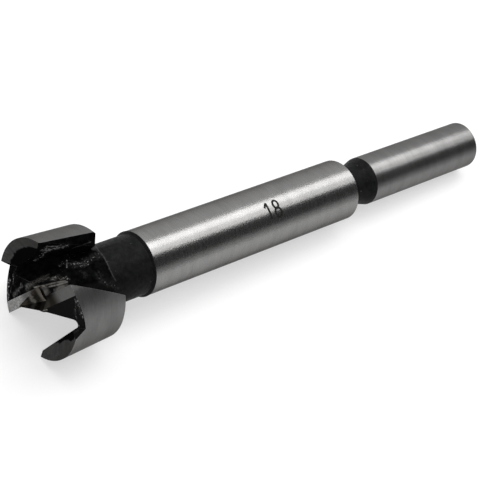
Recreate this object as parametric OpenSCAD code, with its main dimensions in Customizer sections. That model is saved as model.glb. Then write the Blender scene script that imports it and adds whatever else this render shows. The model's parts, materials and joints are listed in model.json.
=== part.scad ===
// Forstner bit, one solid piece of steel, lying on its side as it comes to rest.
// Sizes in mm. The bit is drawn with its axis along Z, rim plane at Z = 0, shank towards +Z,
// cutting lips along X, and is then laid down with one chip opening underneath.

/* [Cutting head] */
// Cutting diameter across the rim
head_d = 18; // [15:0.5:24]
// Length from the rim to the back edge of the head
head_len = 9.1; // [7:0.1:12]
// How much smaller the radius is at the back edge of the head
head_relief = 0.5; // [0.2:0.05:0.6]
// Thickness of the rim wall at its middle
wall_t = 2.55; // [2:0.05:3.2]
// Angle of the wall's inner side to the lips
wall_skew = 5.7; // [2:0.1:9]
// Lean of the first wall's inner side towards the axis with depth
wall_draft = 10.5; // [6:0.5:13]
// How much more the second wall's inner side leans
draft_extra = 6.5; // [0:0.5:8]
// Angle from a lip to the trailing edge of the first wall at the rim
trail_angle = 123; // [115:0.5:130]
// How much further round the second wall reaches
trail_extra = 6.5; // [0:0.5:8]
// Lean of the trailing edge along the head
trail_lean = 6; // [4:0.5:10]

/* [Cutting lips] */
// Distance of the lips behind the rim plane
lip_setback = 0.2; // [0.1:0.05:0.6]
// Lean of the face under each lip
rake_angle = 24.5; // [15:0.5:30]
// Slope of the ground flank behind each lip
flank_angle = 9; // [6:0.5:12]
// Width of the ground flank behind each lip
flank_w = 1.6; // [1:0.1:2.4]
// Slope of the land behind the ground flank
land_angle = 14; // [12:0.5:18]
// Angle from a lip to the bottom of the notch behind its land
notch_angle = 44.5; // [40:0.5:48]
// Angle from a lip to the front corner of the spur behind the notch
spur_angle = 53; // [51:0.5:58]
// Angle of the spur's front to the lips
spur_skew = 20; // [12:1:30]
// Slope of the bevel inside each spur
bevel_angle = 29; // [22:1:36]
// Width of the narrow land left on the rim
rim_land = 0.06; // [0.04:0.01:0.2]

/* [Chip openings] */
// Diameter of the core at the front
core_d = 3.7; // [3:0.1:4.4]
// Slope of the core's side and of the arms' backs with depth
core_slope = 16; // [12:1:20]
// How far the core stands out from the arms' backs
arm_inset = 0.15; // [0.1:0.05:0.3]
// Angle between a lip and the back of its arm
arm_angle = 24.5; // [20:0.5:30]
// Radius in the inner corner of each chip opening
corner_r = 0.7; // [0.5:0.05:1.2]

/* [Centre point] */
// Length of the point in front of the rim plane
point_len = 3.2; // [2:0.1:5]
// Diameter of the point's base across its corners
point_d = 3.9; // [3:0.1:4.6]
// Turn of the point's ground faces from the lips
point_turn = 20; // [0:5:45]

/* [Neck and body] */
// Diameter of the neck behind the head
neck_d = 9.4; // [8:0.1:10]
// Length of the neck from the head to the step
neck_len = 7.9; // [5:0.1:14]
// Diameter of the ground body
body_d = 10; // [9:0.5:13]
// Length of the body from the step to the groove
body_len = 43.6; // [25:0.2:80]
// How much the unground ring stands above the body
ring_rise = 0.06; // [0.04:0.01:0.2]
// Width of the unground ring at the front of the body
ring_w = 0.5; // [0.4:0.05:2]
// Radius of the round between head and neck
root_r = 0.8; // [0.4:0.1:1.4]

/* [Groove and shank] */
// Diameter at the bottom of the groove
groove_d = 6.6; // [5:0.1:7.4]
// Length of the groove with its cone
groove_len = 5.5; // [3:0.1:10]
// Length of the cone between groove and shank
cone_len = 2.4; // [1:0.1:2.8]
// Diameter of the shank
shank_d = 8; // [7.6:0.1:10]
// Length of the shank
shank_len = 26.1; // [18:0.1:50]
// Width of the small chamfers
edge = 0.3; // [0.1:0.05:0.8]

/* [Hidden] */
$fn = 96;

// Room that each cut takes beyond the metal
over = 1;
rim_r = head_d / 2;
back_r = rim_r - head_relief;
neck_r = neck_d / 2;
body_r = body_d / 2;
ring_r = body_r + ring_rise;
groove_r = groove_d / 2;
shank_r = shank_d / 2;
core_r = core_d / 2;

// Stations along the axis, measured from the rim plane
z_ring = head_len + neck_len;
z_body = z_ring + ring_w;
z_groove = z_ring + body_len;
z_shank = z_groove + groove_len;
z_end = z_shank + shank_len;
z_cone = z_shank - cone_len;

// Reach of the cutting blocks, well past the head on every side
reach = 2 * (head_d + head_len);

// Inner side of the wall: its distance from the axis at the rim
wall_y = rim_r - wall_t;

// Height of the lip's flank and land at the bottom of the notch
notch_y = rim_r * sin(notch_angle);
notch_z = lip_setback + flank_w * tan(flank_angle) + (notch_y - flank_w) * tan(land_angle);
// Depth of the point's base, just under the flanks around it
point_sink = lip_setback + core_r * tan(land_angle);
// Lean of the spur's front side, from the notch up to the rim plane
spur_run = rim_r * (sin(spur_angle - spur_skew) - sin(notch_angle - spur_skew));
spur_lean = atan2(spur_run, notch_z);

// Direction in which the core divides the opening, where it stands out from the arm's back
core_lead = 80;
core_split = arm_angle + core_lead;
// Inner limit of the spur's bevel, in the open room between wall and core
spur_y = core_r + (wall_y - core_r) * 2 / 3;

// Corner of a chip opening between the back of the arm and the wall: where both meet at the rim plane
corner_x = (wall_y - (core_r - arm_inset) / cos(arm_angle)) / (tan(arm_angle) + tan(wall_skew));
corner_p = [corner_x, wall_y - corner_x * tan(wall_skew), 0];
// Direction square to the arm's back, into the opening
arm_n = [-sin(arm_angle) * cos(core_slope), cos(arm_angle) * cos(core_slope), -sin(core_slope)];

// Lying pose: the bit rests on the back end of the first wall's trailing edge, the next lip's
// corner and the edge of the shank's end. Both points of the head first, as [x, y] with stations
foot_z = head_len - edge;
foot_run = foot_z * tan(trail_lean);
foot_side = sqrt(back_r * back_r - foot_run * foot_run);
foot = [
    foot_side * cos(trail_angle) - foot_run * sin(trail_angle),
    foot_side * sin(trail_angle) + foot_run * cos(trail_angle)
];
lip_x = head_relief * lip_setback / foot_z - rim_r;
rest_z = z_end - edge;
// The direction that points down is down_0 + slope * down_1, and it has length 1
down_0 = shank_r * [1 / lip_x, (1 - foot[0] / lip_x) / foot[1]];
lip_1 = (rest_z - lip_setback) / lip_x;
down_1 = [lip_1, (rest_z - foot_z - foot[0] * lip_1) / foot[1]];
slope_a = down_1 * down_1;
slope_b = down_0 * down_1;
slope_c = down_0 * down_0 - 1;
slope = (sqrt(slope_b * slope_b - slope_a * slope_c) - slope_b) / slope_a;
down = down_0 + slope * down_1;
down_angle = atan2(down[1], down[0]);
tilt = atan(slope);
lift = (shank_r + slope * rest_z) * cos(tilt);
x_min = -point_len * cos(tilt);
x_max = z_end * cos(tilt) + (shank_r - edge) * sin(tilt);

module lay_down() {
    translate([-(x_min + x_max) / 2, 0, lift])
        rotate([0, 90 + tilt, 0])
            rotate([0, 0, -down_angle])
                children();
}

// Everything on the -Y side of the XZ plane
module behind_y() {
    translate([-reach, -2 * reach, -reach])
        cube(2 * reach);
}

// Everything on the +Y side of the XZ plane
module beyond_y() {
    mirror([0, 1, 0])
        behind_y();
}

// Everything in front of the rim plane
module before_z() {
    translate([-reach, -reach, -2 * reach])
        cube(2 * reach);
}

// The turned bar that the head is cut from
module blank() {
    rotate_extrude()
        difference() {
            polygon([
                [0, 0], [rim_r, 0], [back_r, head_len - edge], [back_r - edge, head_len],
                [neck_r + root_r, head_len],
                [neck_r, head_len + root_r], [neck_r, z_ring],
                [ring_r, z_ring + ring_r - neck_r], [ring_r, z_body - ring_rise], [body_r, z_body],
                [body_r, z_groove - edge], [body_r - edge, z_groove], [groove_r, z_groove],
                [groove_r, z_cone], [shank_r, z_shank], [shank_r, z_end - edge],
                [shank_r - edge, z_end], [0, z_end]
            ]);
            translate([neck_r + root_r, head_len + root_r])
                circle(r = root_r);
        }
}

// Core left between the two chip openings
module core() {
    translate([0, 0, -over])
        cylinder(
            r1 = core_r - over * tan(core_slope), r2 = core_r + z_ring * tan(core_slope),
            h = z_ring + over
        );
}

// Side of the wall's inner face that is free
module inside_wall(draft) {
    translate([0, wall_y, 0])
        rotate([0, 0, -wall_skew])
            rotate([draft, 0, 0])
                behind_y();
}

// Room past the trailing edge of the wall
module past_wall(trail) {
    rotate([0, 0, trail])
        rotate([-trail_lean, 0, 0])
            beyond_y();
}

// Room between the back of one arm and the wall, with a round corner
module behind_arm(draft) {
    wall_n = -[sin(wall_skew) * cos(draft), cos(wall_skew) * cos(draft), sin(draft)];
    corner_out = (arm_n + wall_n) / norm(arm_n + wall_n);
    corner_run = cross(arm_n, wall_n) / norm(cross(arm_n, wall_n));
    corner_side = cross(corner_out, corner_run);
    corner_cos = arm_n * corner_out;
    corner_sin = sqrt(1 - corner_cos * corner_cos);
    corner_c = corner_p + corner_r / corner_cos * corner_out;
    multmatrix([for (i = [0 : 2]) [corner_side[i], corner_out[i], corner_run[i], corner_c[i]]])
        linear_extrude(height = 2 * reach, center = true) {
            circle(r = corner_r);
            polygon([
                corner_r * [corner_sin, -corner_cos],
                corner_r * [corner_sin, -corner_cos] + reach * [corner_cos, corner_sin],
                corner_r * [-corner_sin, -corner_cos] + reach * [-corner_cos, corner_sin],
                corner_r * [-corner_sin, -corner_cos]
            ]);
        }
}

// Room past the core, towards the next lip
module past_core(draft, trail) {
    intersection() {
        rotate([0, 0, core_split])
            beyond_y();
        union() {
            inside_wall(draft);
            past_wall(trail);
        }
    }
}

// Side of the face under the next lip that is free
module under_lip() {
    translate([0, 0, lip_setback]) {
        rotate([rake_angle, 0, 0])
            beyond_y();
        intersection() {
            before_z();
            beyond_y();
        }
    }
}

// Chip opening between one arm and the next lip, running out on the neck
module chip_opening(draft, trail) {
    difference() {
        intersection() {
            union() {
                behind_arm(draft);
                past_core(draft, trail);
            }
            under_lip();
            translate([0, 0, z_ring])
                before_z();
        }
        core();
    }
}

// Lip side of the spur's sloping front
module before_spur() {
    rotate([0, 0, spur_skew])
        translate([0, rim_r * sin(notch_angle - spur_skew), notch_z])
            rotate([spur_lean, 0, 0])
                behind_y();
}

// Ground flank and land behind one lip
module land_cut() {
    intersection() {
        union() {
            translate([0, 0, lip_setback])
                rotate([flank_angle, 0, 0])
                    before_z();
            translate([0, flank_w, lip_setback + flank_w * tan(flank_angle)])
                rotate([land_angle, 0, 0])
                    before_z();
        }
        union() {
            before_spur();
            translate([0, 0, -reach])
                cylinder(r = core_r + over, h = 2 * reach);
        }
        beyond_y();
    }
}

// Bevel inside one spur
module spur_cut() {
    difference() {
        intersection() {
            rotate_extrude()
                polygon([
                    [0, -over], [rim_r - rim_land, -over], [rim_r - rim_land, 0],
                    [0, (rim_r - rim_land) * tan(bevel_angle)]
                ]);
            translate([0, spur_y, 0])
                beyond_y();
        }
        before_spur();
    }
}

// Four ground faces of the centre point
module centre_point() {
    rotate([0, 0, point_turn])
        translate([0, 0, -point_len])
            cylinder(d1 = 0, d2 = point_d, h = point_len + point_sink, $fn = 4);
}

module forstner_bit() {
    color([0.62, 0.62, 0.61])
        lay_down() {
            difference() {
                blank();
                for (wing = [0, 1])
                    rotate([0, 0, 180 * wing]) {
                        chip_opening(wall_draft + wing * draft_extra, trail_angle + wing * trail_extra);
                        land_cut();
                        spur_cut();
                    }
            }
            centre_point();
        }
}

forstner_bit();
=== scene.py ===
import json
import math

import bmesh
import bpy
import numpy as np
from mathutils import Matrix, Vector
from mathutils.bvhtree import BVHTree


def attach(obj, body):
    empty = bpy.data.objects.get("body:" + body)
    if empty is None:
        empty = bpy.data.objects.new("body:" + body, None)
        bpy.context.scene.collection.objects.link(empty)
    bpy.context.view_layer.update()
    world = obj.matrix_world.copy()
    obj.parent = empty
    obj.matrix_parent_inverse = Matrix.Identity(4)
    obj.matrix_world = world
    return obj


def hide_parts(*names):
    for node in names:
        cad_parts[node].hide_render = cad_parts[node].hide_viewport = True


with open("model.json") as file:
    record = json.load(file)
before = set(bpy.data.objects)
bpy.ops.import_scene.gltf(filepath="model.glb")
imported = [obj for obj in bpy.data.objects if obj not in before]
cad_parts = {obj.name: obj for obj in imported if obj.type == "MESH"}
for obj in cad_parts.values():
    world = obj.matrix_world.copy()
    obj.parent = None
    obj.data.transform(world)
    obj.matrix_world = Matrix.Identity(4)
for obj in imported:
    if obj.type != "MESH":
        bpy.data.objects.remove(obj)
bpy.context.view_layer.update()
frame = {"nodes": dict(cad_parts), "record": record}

MM = 0.001
SOLID = frame["nodes"]["forstner_bit"].data

# The bit's own frame is in mm, with the axis along Z, the point at Z < 0 and the rim plane at Z = 0.
# Sizes of the bit there, as in its source
RIM_R, HEAD_RELIEF, HEAD_Z = 9.0, 0.5, 8.8
BODY_R, BODY_Z, GROOVE_Z, SHANK_Z, END_Z = 5.0, 17.5, 60.6, 66.1, 92.2
FLANK_ANGLE, BEVEL_ANGLE = math.radians(9), math.radians(29)
# How closely a flank's normal has to keep to its angle with the axis
FLANK_EXACT = 1e-4


def lying_pose():
    """Pose of the bit's own frame: axis from the mount on the shank's end, turn from a lip's flank."""
    end = next(m for m in frame["record"]["mounts"] if m["name"] == "shank_end")
    axis = Vector(end["axis"])
    lean = -math.cos(FLANK_ANGLE)
    flanks = [f for f in SOLID.polygons if abs(f.normal.dot(axis) - lean) < FLANK_EXACT]
    normal = max(flanks, key=lambda f: f.area).normal
    across = (normal - axis * normal.dot(axis)).normalized()
    # The half with y > 0 lies towards the camera
    if across.y > 0:
        across.negate()
    turn = Matrix((across.cross(axis), across, axis)).transposed()
    return Matrix.Translation(Vector(end["pos_m"]) - axis * END_Z * MM) @ turn.to_4x4()


POSE = lying_pose()
AXIS = POSE.to_3x3() @ Vector((0, 0, 1))

# Size number on the body: place along the axis, height and stroke in mm, and angle of its middle
MARK_Z, MARK_H, MARK_STROKE = 41.8, 2.9, 0.37
MARK_TURN = math.radians(-3.4)
# Radius of its outside and of its foot in the body, and longest step along a stroke (mm)
MARK_TOP, MARK_FOOT = BODY_R + 0.006, BODY_R - 0.03
MARK_STEP = 0.04 * MARK_H

# Camera, fitted to the photograph: place in mm, its right and up, lens and sensor width in mm
CAM_PLACE = Vector((-146.270, -85.923, 172.975))
CAM_RIGHT = Vector((0.743799, -0.583780, 0.325536))
CAM_UP = Vector((0.301728, 0.727827, 0.615806))
CAM_LENS, CAM_SENSOR = 113.13, 36
# Width of the photograph in pixels
PHOTO = 480

# Floor: width in m, colour, and the share of it that glows white for camera and mirrors
FLOOR_WIDTH, FLOOR_GREY, FLOOR_GLOW = 6, 0.9, 0.55

# Brightness of the room by angle from straight up towards the camera's side, in degrees
ROOM = (
    (-180, 0.95), (-31.5, 0.95), (-25.5, 0.4), (22.5, 0.4),
    (27.5, 0.07), (68.5, 0.07), (78.5, 0.5), (180, 0.5),
)
# Behind the head it is evenly pale, for directions with X between these and beyond
ROOM_BEHIND, BEHIND_FROM, BEHIND_TO = 0.75, -0.15, -0.45

# Lamps over the bit, shining straight down: place and size in m, power in W
LAMPS = (
    ("strip", (0.25, 0.108, 0.5), (0.9, 0.231), 2.6),
    ("fill", (0.25, -0.109, 0.5), (0.9, 0.205), 1.3),
)


def grey(level, warm=0.98):
    """A grey of the given red, with its blue times warm and its green between."""
    return (level, level * (1 + warm) / 2, level * warm, 1)


class Nodes:
    """Short calls for the nodes of one tree."""

    def __init__(self, tree):
        self.tree = tree

    def node(self, kind, **settings):
        n = self.tree.nodes.new(kind)
        for key, value in settings.items():
            setattr(n, key, value)
        return n

    def put(self, socket, value):
        """Link an output to the socket, or set a plain value on it."""
        if isinstance(value, bpy.types.NodeSocket):
            self.tree.links.new(value, socket)
        else:
            socket.default_value = value

    def math(self, op, a, b=None, clamp=False):
        n = self.node("ShaderNodeMath", operation=op, use_clamp=clamp)
        self.put(n.inputs[0], a)
        if b is not None:
            self.put(n.inputs[1], b)
        return n.outputs[0]

    def times(self, a, b):
        return self.math("MULTIPLY", a, b)

    def largest(self, first, *others):
        for value in others:
            first = self.math("MAXIMUM", first, value)
        return first

    def vec(self, op, a, b=None, scale=None):
        n = self.node("ShaderNodeVectorMath", operation=op)
        self.put(n.inputs[0], a)
        if b is not None:
            self.put(n.inputs[1], b)
        if scale is not None:
            self.put(n.inputs["Scale"], scale)
        return n.outputs["Value" if op in ("DOT_PRODUCT", "DISTANCE") else "Vector"]

    def span(self, value, lo, hi, out_lo=0.0, out_hi=1.0, kind="SMOOTHSTEP"):
        """Value from lo..hi to out_lo..out_hi, held beyond both ends."""
        n = self.node("ShaderNodeMapRange", interpolation_type=kind)
        ends = {"Value": value, "From Min": lo, "From Max": hi, "To Min": out_lo, "To Max": out_hi}
        for key, end in ends.items():
            self.put(n.inputs[key], end)
        return n.outputs["Result"]

    def mix(self, fac, a, b):
        """Colour a where fac is 0 and b where it is 1."""
        n = self.node("ShaderNodeMix", data_type="RGBA")
        self.put(n.inputs["Factor"], fac)
        self.put(n.inputs[6], a)
        self.put(n.inputs[7], b)
        return n.outputs[2]

    def blend(self, fac, a, b):
        """Number a where fac is 0 and b where it is 1."""
        n = self.node("ShaderNodeMix", data_type="FLOAT")
        self.put(n.inputs["Factor"], fac)
        self.put(n.inputs[2], a)
        self.put(n.inputs[3], b)
        return n.outputs[0]


class Finish(Nodes):
    """A material of the bit, by the place in the bit's own frame: p, x, y, z and r, in mm."""

    def __init__(self, name):
        self.mat = bpy.data.materials.new(name)
        self.mat.use_nodes = True
        super().__init__(self.mat.node_tree)
        turned = self.node("ShaderNodeMapping", vector_type="TEXTURE")
        self.put(turned.inputs["Vector"], self.node("ShaderNodeTexCoord").outputs["Object"])
        self.put(turned.inputs["Location"], POSE.translation)
        self.put(turned.inputs["Rotation"], POSE.to_euler())
        self.p = self.vec("SCALE", turned.outputs["Vector"], scale=1 / MM)
        parts = self.node("ShaderNodeSeparateXYZ")
        self.put(parts.inputs[0], self.p)
        self.x, self.y, self.z = parts.outputs
        squares = self.math("ADD", self.times(self.x, self.x), self.times(self.y, self.y))
        self.r = self.math("SQRT", squares)

    def noise(self, scale, detail=2, rough=0.5, stretch=(1, 1, 1), shift=(0, 0, 0), out="Fac"):
        """Noise over the place, with scale in waves per mm."""
        moved = self.node("ShaderNodeMapping")
        self.put(moved.inputs["Vector"], self.p)
        self.put(moved.inputs["Location"], shift)
        self.put(moved.inputs["Scale"], stretch)
        n = self.node("ShaderNodeTexNoise")
        self.put(n.inputs["Vector"], moved.outputs["Vector"])
        self.put(n.inputs["Scale"], scale)
        self.put(n.inputs["Detail"], detail)
        self.put(n.inputs["Roughness"], rough)
        return n.outputs[out]

    def bump(self, height, strength, depth):
        """Normal for a height of 0 to 1 that stands for depth in mm."""
        n = self.node("ShaderNodeBump")
        self.put(n.inputs["Strength"], strength)
        self.put(n.inputs["Distance"], depth * MM)
        self.put(n.inputs["Height"], height)
        return n.outputs["Normal"]

    def edges(self, radius):
        """How near the place is to an edge, from 0 to 1, within about radius in mm."""
        n = self.node("ShaderNodeBevel", samples=6)
        self.put(n.inputs["Radius"], radius * MM)
        normal = self.node("ShaderNodeNewGeometry").outputs["Normal"]
        alike = self.vec("DOT_PRODUCT", n.outputs["Normal"], normal)
        return self.span(alike, 0.995, 0.90)

    def around(self):
        """Direction of the grinding lines, round the axis."""
        normal = self.node("ShaderNodeNewGeometry").outputs["True Normal"]
        return self.vec("CROSS_PRODUCT", tuple(AXIS), normal)

    def set(self, **values):
        """Sockets of the shader, named with _ for a space."""
        shader = self.tree.nodes["Principled BSDF"]
        for key, value in values.items():
            self.put(shader.inputs[key.replace("_", " ")], value)
        return self.mat


# Finishes of the steel. Reach in mm and tone of the lighter edges, partly chipped wear and partly a
# painted highlight along the edges, and unevenness of the roughness
EDGE_CHIP_AND_HIGHLIGHT_REACH, EDGE_CHIP_AND_HIGHLIGHT_GREY, UNEVEN = 0.12, 0.42, 0.06
# Middle of every noise, and the part of its range that is stretched to 0..1 for soft changes
MIDDLE, SOFT = 0.5, (0.3, 0.7)


def ground_steel(name, dark, light, rough, tint):
    """Steel ground round the axis: two tones, roughness, and tint of its glancing reflections."""
    g = Finish(name)
    lines = g.noise(9.0, 3, 0.65, stretch=(0.05, 0.05, 1.0))
    broad = g.noise(0.5, 2, 0.5, stretch=(0.3, 0.3, 1.0), shift=(3, 7, 1))
    grain = g.noise(6.0, 3, 0.6, stretch=(0.6, 0.6, 1.0), shift=(1, 2, 3))
    tone = g.span(g.blend(0.45, lines, broad), *SOFT)
    # lighter edges: chipped wear together with a painted highlight along the edges
    edge_chips_and_highlights = g.times(g.edges(EDGE_CHIP_AND_HIGHLIGHT_REACH), g.span(grain, 0.38, 0.62, 0.2, 0.8))
    return g.set(
        Base_Color=g.mix(edge_chips_and_highlights, g.mix(tone, grey(dark), grey(light)), grey(EDGE_CHIP_AND_HIGHLIGHT_GREY)),
        Metallic=1.0,
        Anisotropic=0.75,
        Anisotropic_Rotation=0.25,
        Tangent=g.around(),
        Roughness=g.span(g.blend(0.5, grain, lines), *SOFT, rough - UNEVEN, rough + UNEVEN),
        Specular_Tint=grey(tint),
        Normal=g.bump(g.blend(0.9, lines, grain), 0.65, depth=0.03),
    )


# Ranges over which one tone of the faces fades into the next, in mm in the bit's frame.
# By radius: flanks to point. By height: start and end of the pale ring painted on the point as a
# highlight, and its foot
POINT_FADE = (2.7, 1.9)
HIGHLIGHT_RING_START, HIGHLIGHT_RING_END, FOOT_FADE = (-1.55, -1.25), (-0.8, -1.1), (-0.3, 0.1)
# By x: first lip to second, first flank to the point, and the point to the second flank
LIP_SIDES, FIRST_FADE, SECOND_FADE = (0.5, 1.0), (-5.6, -3.2), (3.0, 5.5)
# By distance from the lips: flanks to bevels
BEVEL_FADE = (2.2, 2.5)
# Black strip inside the bevels: turn from the lip in radians, and the strip's radius there in mm
FIRST_STRIP, SECOND_STRIP = (0.95, 1.45, 8.3, 6.75), (0.9, 2.2, 7.8, 7.3)
# How far spots move the borders of the painted highlight ring and of the strip (mm)
HIGHLIGHT_RING_STRAY, STRIP_STRAY, STRIP_SOFT = 0.9, 0.6, 0.1

BROWN_DARK, BROWN_LIGHT = (0.004, 0.0036, 0.003, 1), (0.011, 0.0098, 0.0083, 1)
# Tone of the pale ring painted on the point as a highlight, and of the point's foot
HIGHLIGHT_RING_TONE, FOOT_TONE = (0.046, 0.0435, 0.04, 1), (0.034, 0.031, 0.027, 1)
DULL_BROWN, STRIP_BLACK = (0.016, 0.015, 0.013, 1), (0.0025, 0.0025, 0.0025, 1)
RUBBED_BROWN = (0.165, 0.157, 0.146, 1)


def strayed(g, value, noise, reach):
    """Value moved to and fro by a noise, over reach in all."""
    return g.math("ADD", value, g.times(g.math("SUBTRACT", noise, MIDDLE), reach))


def point_colour(g, spots):
    """Brown and blotched, with a pale ring half way up painted as a highlight, and a paler foot."""
    blots = g.span(g.noise(0.9, 3, 0.65, shift=(1, 6, 2)), 0.42, 0.62)
    height = strayed(g, g.z, spots, HIGHLIGHT_RING_STRAY)
    # painted highlight: a pale ring half way up the point
    ring = g.times(g.span(height, *HIGHLIGHT_RING_START), g.span(height, *HIGHLIGHT_RING_END))
    colour = g.mix(g.times(ring, 0.6), g.mix(blots, BROWN_DARK, BROWN_LIGHT), HIGHLIGHT_RING_TONE)
    return g.mix(g.span(g.z, *FOOT_FADE), colour, FOOT_TONE)


def flank_colour(g, tone):
    """The first lip's flank is painted light and speckled and the second's darker, as lit and shaded
    copies of one ground finish, and both fade to the point.
    """
    sparks = g.span(g.noise(5.0, 2, 0.7, shift=(2, 2, 9)), 0.42, 0.62)
    # painted light: the first flank is painted light and the second darker, though both are ground alike
    lit_flank = g.mix(g.blend(0.7, tone, sparks), grey(0.14), grey(0.40))
    lit_flank = g.mix(g.span(g.x, *FIRST_FADE, 0.0, 0.75), lit_flank, grey(0.05))
    shaded_flank = g.mix(tone, grey(0.095), grey(0.12))
    shaded_flank = g.mix(g.span(g.x, *SECOND_FADE), DULL_BROWN, shaded_flank)
    return g.mix(g.span(g.x, *LIP_SIDES), lit_flank, shaded_flank)


def black_strip(g, spots):
    """Where black is left inside the spurs' bevels: wide only near the notch of the first wall."""
    side = g.math("SIGN", g.y)
    turn = g.math("ARCTAN2", g.times(g.y, side), g.times(g.x, side))
    first_wall = g.span(g.y, -STRIP_SOFT, STRIP_SOFT)
    limit = g.blend(first_wall, g.span(turn, *SECOND_STRIP), g.span(turn, *FIRST_STRIP))
    past = g.math("SUBTRACT", strayed(g, g.r, spots, STRIP_STRAY), limit)
    return g.span(past, STRIP_SOFT, -STRIP_SOFT)


def face_steel():
    """Flanks, bevels and centre point, ground flat."""
    g = Finish("face_steel")
    lines = g.noise(4.0, 3, 0.6, stretch=(1.0, 0.12, 0.3))
    spots = g.noise(1.6, 3, 0.6, shift=(4, 1, 2))
    tone = g.span(g.blend(0.5, lines, spots), *SOFT)
    point = g.span(g.r, *POINT_FADE)
    bevel = g.span(g.math("ABSOLUTE", g.y), *BEVEL_FADE)
    strip = g.times(black_strip(g, spots), bevel)
    colour = g.mix(point, flank_colour(g, tone), point_colour(g, spots))
    colour = g.mix(bevel, colour, g.mix(tone, grey(0.030), grey(0.056)))
    return g.set(
        Base_Color=g.mix(strip, colour, STRIP_BLACK),
        Metallic=g.math("SUBTRACT", 1.0, strip),
        Specular_IOR_Level=0.0,
        Specular_Tint=grey(0.5),
        Roughness=g.blend(strip, g.span(lines, *SOFT, 0.28, 0.42), 0.6),
        Normal=g.bump(g.blend(0.5, lines, spots), 0.2, depth=0.05),
    )


# Worn places of the black, and the painted glints and painted highlights drawn like them, picked in the
# photograph: lines through pixels, then the reach to each side in mm and the strength. The two halves of
# the head are marked alike, apart from the low smears, so each line is turned onto the half with y < 0
# and stands for both.
# Grains of bare steel that show through, and painted glints drawn as such grains
GRAINS_AND_GLINTS = (
    # inside of the wall, along its foot and up to its end: painted glints
    (((35.5, 261), (41, 256.5), (46, 251)), 0.6, 1.1),
    (((47, 250), (55, 248.5), (62.5, 246.5)), 1.3, 1.3),
    (((47, 246.5), (62, 246)), 0.7, 1.2),
    # core, from its middle up to the neck: painted glints
    (((62, 264.5), (70, 263.5), (77, 263.5), (83, 264)), 0.9, 0.9),
    (((85, 260), (92, 257), (100, 255)), 1.1, 0.55),
    (((80, 272), (86, 275)), 0.5, 0.5),
    (((98, 275), (105, 282), (112, 285), (117, 289)), 0.7, 0.5),
    # core, above the second lip
    (((50, 279.5), (58, 277.5), (66, 278)), 0.6, 0.95),
    # land behind the lip, along the rim and along its back
    (((76, 299), (80, 308), (82, 316)), 0.6, 0.95),
    (((13, 265), (13.8, 272), (13.2, 281), (10.5, 293)), 0.35, 0.8),
)
# Scratches and rubbed patches, bare along their whole length, and painted highlights and a painted glint
# drawn the same way
SCRATCHES_AND_HIGHLIGHTS = (
    # core, across its middle: a painted glint
    (((66.8, 260.5), (66.8, 264), (66.8, 267.5)), 0.15, 1.0),
    # inside of the wall, towards its back end: a painted highlight along the edge
    (((72.5, 248.2), (78, 246.4), (84, 244.4), (90.5, 242)), 0.16, 0.22),
    # round the neck, where the head begins
    (((95.5, 246.5), (99, 251), (103, 255.5), (106.5, 262)), 0.16, 0.1),
    (((106.5, 262), (109.5, 269), (113, 276), (116, 281)), 0.16, 0.1),
    # foot of the point: first a painted highlight along the point's top edge
    (((34, 287.5), (39, 286.5), (44, 286)), 0.16, 1.4),
    (((44, 287), (46, 292), (47, 293)), 0.7, 0.34),
    # core, along the second lip
    (((46, 285), (54, 283), (65, 281)), 0.22, 0.5),
    (((49.5, 286.5), (57, 285), (67, 282)), 0.22, 0.6),
    (((56, 290), (60, 288), (67, 286)), 0.5, 0.5),
)
# Smears, broken up along the axis
SMEARS = (
    # from the point's foot up the core
    (((27, 288), (33, 283), (39, 279.5), (46, 276.5)), 0.9, 0.36),
    (((43, 280), (50, 278), (56, 279)), 0.6, 0.32),
    # land behind the first lip
    (((14, 295), (17.5, 290.5), (21, 286)), 0.6, 0.25),
)

# Places on the black skin, in mm: head to neck by height, the paler half by y, where the halves part
# by the lips or by the wall's end, the smears that are on one half only, and the core round the point
HEAD_FADE, PALER_HALF = (10.6, 9.9), (0.3, 1.2)
PARTING_FADE, WALL_END = (4.5, 4.6), 2.7
ONE_HALF, BOTH_HALVES = (0.6, 0.0), (1.5, 2.0)
CENTRE_R, CENTRE_Z = (3.5, 3.0), (4.6, 3.8)
# How far the borders of grains, painted glints and smears stray, and the reach of worn edges (mm)
WEAR_AND_GLINT_STRAY, WORN_REACH = 1.6, 0.12
# Part of a line's reach that has its full strength
FULL = 0.2

# Surface of the solid, on which the picked pixels are found
SURFACE = BVHTree.FromPolygons(
    [v.co for v in SOLID.vertices],
    [tuple(f.vertices) for f in SOLID.polygons],
)


def seen_at(pixel):
    """Place on the bit that a pixel of the photograph shows, turned onto the head's first half."""
    across, down = pixel[0] - PHOTO / 2, pixel[1] - PHOTO / 2
    ahead = CAM_UP.cross(CAM_RIGHT) * PHOTO * CAM_LENS / CAM_SENSOR
    hit = SURFACE.ray_cast(CAM_PLACE * MM, ahead + CAM_RIGHT * across - CAM_UP * down)[0]
    place = POSE.inverted() @ hit / MM
    parting = 0 if place.z < PARTING_FADE[0] else WALL_END
    return place if place.y < parting else Vector((-place.x, -place.y, place.z))


def near(g, lines, place):
    """Largest strength of any of the lines at a place, falling off over each line's reach."""
    strengths = []
    for pixels, reach, strength in lines:
        points = [seen_at(pixel) for pixel in pixels]
        for a, b in zip(points, points[1:]):
            run = b - a
            off = g.vec("SUBTRACT", place, tuple(a))
            dot = g.vec("DOT_PRODUCT", off, tuple(run))
            along = g.math("MULTIPLY", dot, 1 / run.length_squared, clamp=True)
            away = g.vec("DISTANCE", off, g.vec("SCALE", tuple(run), scale=along))
            strengths.append(g.span(away, reach, reach * FULL, 0.0, strength))
    return g.largest(*strengths)


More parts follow.
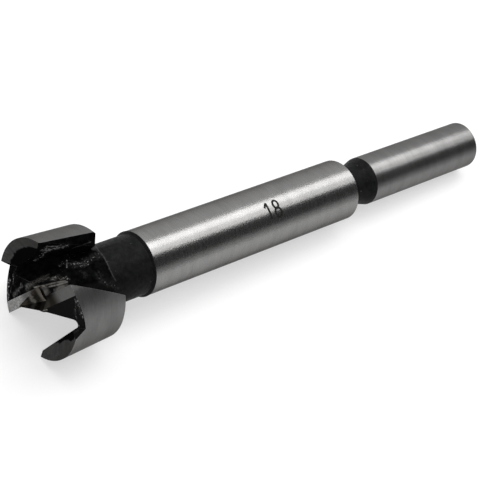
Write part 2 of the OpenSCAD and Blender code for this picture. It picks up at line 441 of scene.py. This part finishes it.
def first_half(g):
    """The place, with the second half of the head turned onto the first."""
    lip_side = g.math("SIGN", g.y)
    wall_side = g.math("SIGN", g.math("SUBTRACT", g.y, WALL_END))
    side = g.times(g.blend(g.span(g.z, *PARTING_FADE), lip_side, wall_side), -1.0)
    place = g.node("ShaderNodeCombineXYZ")
    for socket, value in zip(place.inputs, (g.times(g.x, side), g.times(g.y, side), g.z)):
        g.put(socket, value)
    return place.outputs[0]


def black_skin(name, dark, light, gloss):
    """Black, slightly rough skin of the chip openings, the neck and the groove: tones and gloss."""
    g = Finish(name)
    lumps = g.noise(1.3, 4, 0.6)
    pits = g.noise(4.0, 3, 0.65, shift=(2, 5, 1))
    specks = g.noise(2.9, 2, 0.8, stretch=(1, 1, 0.8), shift=(7, 3, 4))
    strokes = g.noise(3.6, 3, 0.7, stretch=(1, 1, 0.4), shift=(5, 8, 2))
    head = g.span(g.z, *HEAD_FADE)
    colour = g.mix(g.span(lumps, 0.35, 0.65), grey(dark, 1.05), grey(light, 1.05))
    paler = g.times(head, g.span(g.y, *PALER_HALF))
    colour = g.mix(paler, colour, g.mix(lumps, grey(0.005), grey(0.009)))

    place = first_half(g)
    stray = g.vec("SUBTRACT", g.noise(1.1, out="Color"), (MIDDLE, MIDDLE, MIDDLE))
    ragged = g.vec("ADD", place, g.vec("SCALE", stray, scale=WEAR_AND_GLINT_STRAY))
    # grains of bare steel, with painted glints on the wall's inside and the core
    grain_and_glint_reach = near(g, GRAINS_AND_GLINTS, ragged)
    grain_and_glint_specks = g.span(g.math("ADD", specks, g.times(grain_and_glint_reach, 0.23)), 0.70, 0.86, 0.0, 0.9)
    haze = g.times(grain_and_glint_reach, g.span(pits, 0.35, 0.65, 0.0, 0.09))
    worn_edges = g.times(g.edges(WORN_REACH), g.span(pits, 0.42, 0.58))
    worn_edges = g.times(worn_edges, g.blend(head, 0.12, 0.2))
    smears = g.times(near(g, SMEARS, ragged), g.span(strokes, 0.38, 0.62, 0.12, 1.0))
    smears = g.times(smears, g.largest(g.span(g.y, *ONE_HALF), g.span(g.z, *BOTH_HALVES)))
    # scratches and rubbed patches, with the painted highlights and the painted glint
    scratches_and_highlights = g.times(near(g, SCRATCHES_AND_HIGHLIGHTS, place), g.span(lumps, 0.3, 0.6, 0.2, 1.0))
    # bare steel of wear, together with the painted glints and highlights
    bare_and_painted_highlights = g.largest(grain_and_glint_specks, haze, worn_edges, smears, scratches_and_highlights)
    centre = g.times(g.span(g.r, *CENTRE_R), g.span(g.z, *CENTRE_Z))
    steel = g.mix(centre, grey(0.30), RUBBED_BROWN)
    return g.set(
        Base_Color=g.mix(bare_and_painted_highlights, colour, steel),
        Metallic=g.times(bare_and_painted_highlights, 0.5),
        Roughness=g.span(pits, *SOFT, 0.4, 0.65),
        Specular_IOR_Level=gloss,
        Normal=g.bump(g.blend(0.4, lumps, pits), 0.4, depth=0.1),
    )


def mark_grey():
    """Dark grey of the size number."""
    g = Finish("mark_grey")
    grain = g.noise(6.0, 3, 0.6)
    return g.set(
        Base_Color=g.mix(g.span(grain, *SOFT), grey(0.006), grey(0.02)),
        Specular_IOR_Level=0.05,
        Roughness=g.span(grain, *SOFT, 0.4, 0.6),
        Normal=g.bump(grain, 0.2, depth=0.01),
    )


BODY, SHANK, RIM, FACE, BLACK, NECK = range(6)

# Limits by which a face's finish is told (mm): exactness of places, of the rim's outside, the body's
# rounded ends, the foot of the neck, the rim's inner edge and the height that only the point has
EXACT, ON_RIM, BODY_ROUND, NECK_Z, RIM_INNER, POINT_Z = 1e-3, 0.01, 0.4, HEAD_Z + 0.9, RIM_R - 1.0, -0.4
# Slope of the chamfer's normal, and how closely flanks and bevels point their own way
CHAMFER_SLOPE, FLANK_ALIKE, BEVEL_ALIKE = (0.5, 0.9), 0.9995, 0.995
# Vertices closer than this are one (mm), and edges sharper than this stay sharp
WELD, SHARP = 0.002, math.radians(24)


def finishes():
    """One material for each of the finishes, in their order."""
    return (
        ground_steel("body_steel", dark=0.225, light=0.28, rough=0.28, tint=0.27),
        ground_steel("shank_steel", dark=0.165, light=0.22, rough=0.37, tint=0.4),
        ground_steel("rim_steel", dark=0.16, light=0.22, rough=0.45, tint=0.27),
        face_steel(),
        # the head's black is painted darker than the same black on the neck: painted shade in the head's
        # hollows
        black_skin("shaded_head_black", dark=0.0015, light=0.0045, gloss=0.0),
        black_skin("neck_black", dark=0.0042, light=0.0085, gloss=0.045),
    )


def finish_of(points, normal):
    """Which finish a face has, from its corners (mm, in the bit's frame) and its normal."""
    r = np.hypot(points[:, 0], points[:, 1])
    z = points[:, 2]
    mid = points.mean(0)
    if mid[2] > SHANK_Z - EXACT:
        return SHANK
    # Body with its rounded ends, up to the groove's first face
    if mid[2] > BODY_Z - EXACT and z.max() < GROOVE_Z + EXACT and r.min() > BODY_R - BODY_ROUND:
        return NECK if mid[2] > GROOVE_Z - EXACT else BODY
    if z.min() > NECK_Z:
        return NECK
    # Outside of the rim, and the chamfer at its back
    rim = RIM_R - HEAD_RELIEF * z / HEAD_Z
    if z.max() <= HEAD_Z + EXACT and np.all(np.abs(r - rim) < ON_RIM):
        return RIM
    sloped = CHAMFER_SLOPE[0] < normal[2] < CHAMFER_SLOPE[1]
    if mid[2] > HEAD_Z - ON_RIM and sloped and r.min() > RIM_INNER:
        return RIM
    # Centre point, flanks and bevels
    if z.min() < POINT_Z:
        return FACE
    same_side = normal if mid[1] > 0 else normal * np.array([-1, -1, 1])
    flank = np.array([0, math.sin(FLANK_ANGLE), -math.cos(FLANK_ANGLE)])
    if same_side @ flank > FLANK_ALIKE:
        return FACE
    outward = np.array([mid[0], mid[1], 0]) / math.hypot(mid[0], mid[1])
    bevel = -math.sin(BEVEL_ANGLE) * outward - np.array([0, 0, math.cos(BEVEL_ANGLE)])
    return FACE if normal @ bevel > BEVEL_ALIKE else BLACK


def add_object(name, data):
    piece = bpy.data.objects.new(name, data)
    bpy.context.scene.collection.objects.link(piece)
    return piece


def add_piece(name, bm, materials):
    """The built mesh as a piece of the scene."""
    mesh = bpy.data.meshes.new(name)
    bm.to_mesh(mesh)
    bm.free()
    for material in materials:
        mesh.materials.append(material)
    return add_object(name, mesh)


def make_bit():
    """The whole bit as one piece, on the CAD solid's surface."""
    bm = bmesh.new()
    bm.from_mesh(SOLID)
    bmesh.ops.remove_doubles(bm, verts=bm.verts, dist=WELD * MM)
    bm.normal_update()
    to_bit = POSE.inverted()
    turn = to_bit.to_3x3()
    for f in bm.faces:
        points = np.array([to_bit @ v.co for v in f.verts]) / MM
        f.material_index = finish_of(points, np.array(turn @ f.normal))
        f.smooth = True
    for e in bm.edges:
        e.smooth = len(e.link_faces) == 2 and e.calc_face_angle(0) < SHARP
    return add_piece("bit", bm, finishes())


def ellipse(cx, cy, rx, ry, steps=28):
    """Closed outline, with the first point again at its end."""
    turns = [2 * math.pi * i / steps for i in range(steps + 1)]
    return [(cx + rx * math.cos(t), cy + ry * math.sin(t)) for t in turns]


# Strokes of the two digits, x along the axis and y up, for a height of 1
DIGITS = (
    ((-0.48, 0.22), (-0.26, 0.46), (-0.26, -0.46)),
    ellipse(0.33, 0.235, 0.17, 0.225),
    ellipse(0.33, -0.215, 0.21, 0.245),
)


def on_body(flat, radius):
    """Place of a point of the digits, at a radius from the axis."""
    turn = MARK_TURN - flat.y * MARK_H / BODY_R
    place = Vector((radius * math.cos(turn), radius * math.sin(turn), MARK_Z + flat.x * MARK_H))
    return POSE @ (place * MM)


def make_mark():
    """Plain size number, a closed thin skin on the body."""
    bm = bmesh.new()
    half = MARK_STROKE / MARK_H / 2
    for stroke in DIGITS:
        closed = math.dist(stroke[0], stroke[-1]) < 1e-6
        line = []
        for a, b in zip(stroke, stroke[1:]):
            n = max(1, round(math.dist(a, b) * MARK_H / MARK_STEP))
            line += [Vector(a).lerp(Vector(b), i / n) for i in range(n)]
        if not closed:
            line.append(Vector(stroke[-1]))
        rows = []
        for i, c in enumerate(line):
            before = line[i - 1] if closed or i else c
            after = line[(i + 1) % len(line)] if closed or i < len(line) - 1 else c
            along = (after - before).normalized()
            off = Vector((-along.y, along.x)) * half
            ring = ((c + off, MARK_TOP), (c - off, MARK_TOP), (c - off, MARK_FOOT), (c + off, MARK_FOOT))
            rows.append([bm.verts.new(on_body(flat, radius)) for flat, radius in ring])
        for a, b in zip(rows, rows[1:] + rows[:1] if closed else rows[1:]):
            for k in range(4):
                bm.faces.new((a[k], a[(k + 1) % 4], b[(k + 1) % 4], b[k]))
        if not closed:
            bm.faces.new(rows[0])
            bm.faces.new(rows[-1])
    bmesh.ops.recalc_face_normals(bm, faces=bm.faces)
    return add_piece("size_mark", bm, (mark_grey(),))


bit = make_bit()
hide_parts("forstner_bit")
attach(bit, "root")

mark = make_mark()
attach(mark, "root")


def make_floor():
    """White floor that keeps the bit's shadow."""
    bpy.ops.mesh.primitive_plane_add(size=FLOOR_WIDTH, location=(0, 0, 0))
    floor = bpy.context.active_object
    floor.name = "floor"
    mat = bpy.data.materials.new("floor_white")
    mat.use_nodes = True
    g = Nodes(mat.node_tree)
    matt = g.tree.nodes["Principled BSDF"]
    g.put(matt.inputs["Base Color"], (FLOOR_GREY, FLOOR_GREY, FLOOR_GREY, 1))
    g.put(matt.inputs["Roughness"], 0.9)
    g.put(matt.inputs["Specular IOR Level"], 0.0)
    path = g.node("ShaderNodeLightPath").outputs
    seen = g.largest(path["Is Camera Ray"], path["Is Glossy Ray"], path["Is Transmission Ray"])
    glow = g.node("ShaderNodeEmission")
    both = g.node("ShaderNodeMixShader")
    g.put(both.inputs[0], g.times(seen, FLOOR_GLOW))
    g.put(both.inputs[1], matt.outputs[0])
    g.put(both.inputs[2], glow.outputs[0])
    g.put(g.tree.nodes["Material Output"].inputs["Surface"], both.outputs[0])
    floor.data.materials.append(mat)


def make_world():
    """A room that is pale behind the bit, dim over the camera's side and grey in front."""
    world = bpy.data.worlds.new("room")
    bpy.context.scene.world = world
    world.use_nodes = True
    g = Nodes(world.node_tree)
    direction = g.node("ShaderNodeSeparateXYZ")
    g.put(direction.inputs[0], g.node("ShaderNodeTexCoord").outputs["Generated"])
    x, y, z = direction.outputs
    angle = g.math("ARCTAN2", g.times(y, -1), z)
    ramp = g.node("ShaderNodeValToRGB")
    g.put(ramp.inputs[0], g.span(angle, -math.pi, math.pi, kind="LINEAR"))
    stops = ramp.color_ramp.elements
    while len(stops) < len(ROOM):
        stops.new(0.5)
    for stop, (degrees, level) in zip(stops, ROOM):
        stop.position = (degrees + 180) / 360
        stop.color = (level, level, level, 1)
    behind = g.span(x, BEHIND_FROM, BEHIND_TO, kind="LINEAR")
    pale = (ROOM_BEHIND, ROOM_BEHIND, ROOM_BEHIND, 1)
    g.put(g.tree.nodes["Background"].inputs["Color"], g.mix(behind, ramp.outputs[0], pale))


def make_lamp(name, place, size, power):
    data = bpy.data.lights.new(name, "AREA")
    data.shape = "RECTANGLE"
    data.size, data.size_y = size
    data.energy = power
    add_object(name, data).location = place


def make_camera():
    data = bpy.data.cameras.new("camera")
    data.sensor_width = CAM_SENSOR
    data.lens = CAM_LENS
    data.clip_start = 0.01
    data.clip_end = 50
    camera = add_object("camera", data)
    turn = Matrix((CAM_RIGHT, CAM_UP, CAM_RIGHT.cross(CAM_UP))).transposed()
    camera.matrix_world = Matrix.Translation(CAM_PLACE * MM) @ turn.to_4x4()
    bpy.context.scene.camera = camera


make_floor()
make_world()
for lamp in LAMPS:
    make_lamp(*lamp)
make_camera()
bpy.context.scene.view_settings.view_transform = "Standard"

bpy.context.view_layer.update()
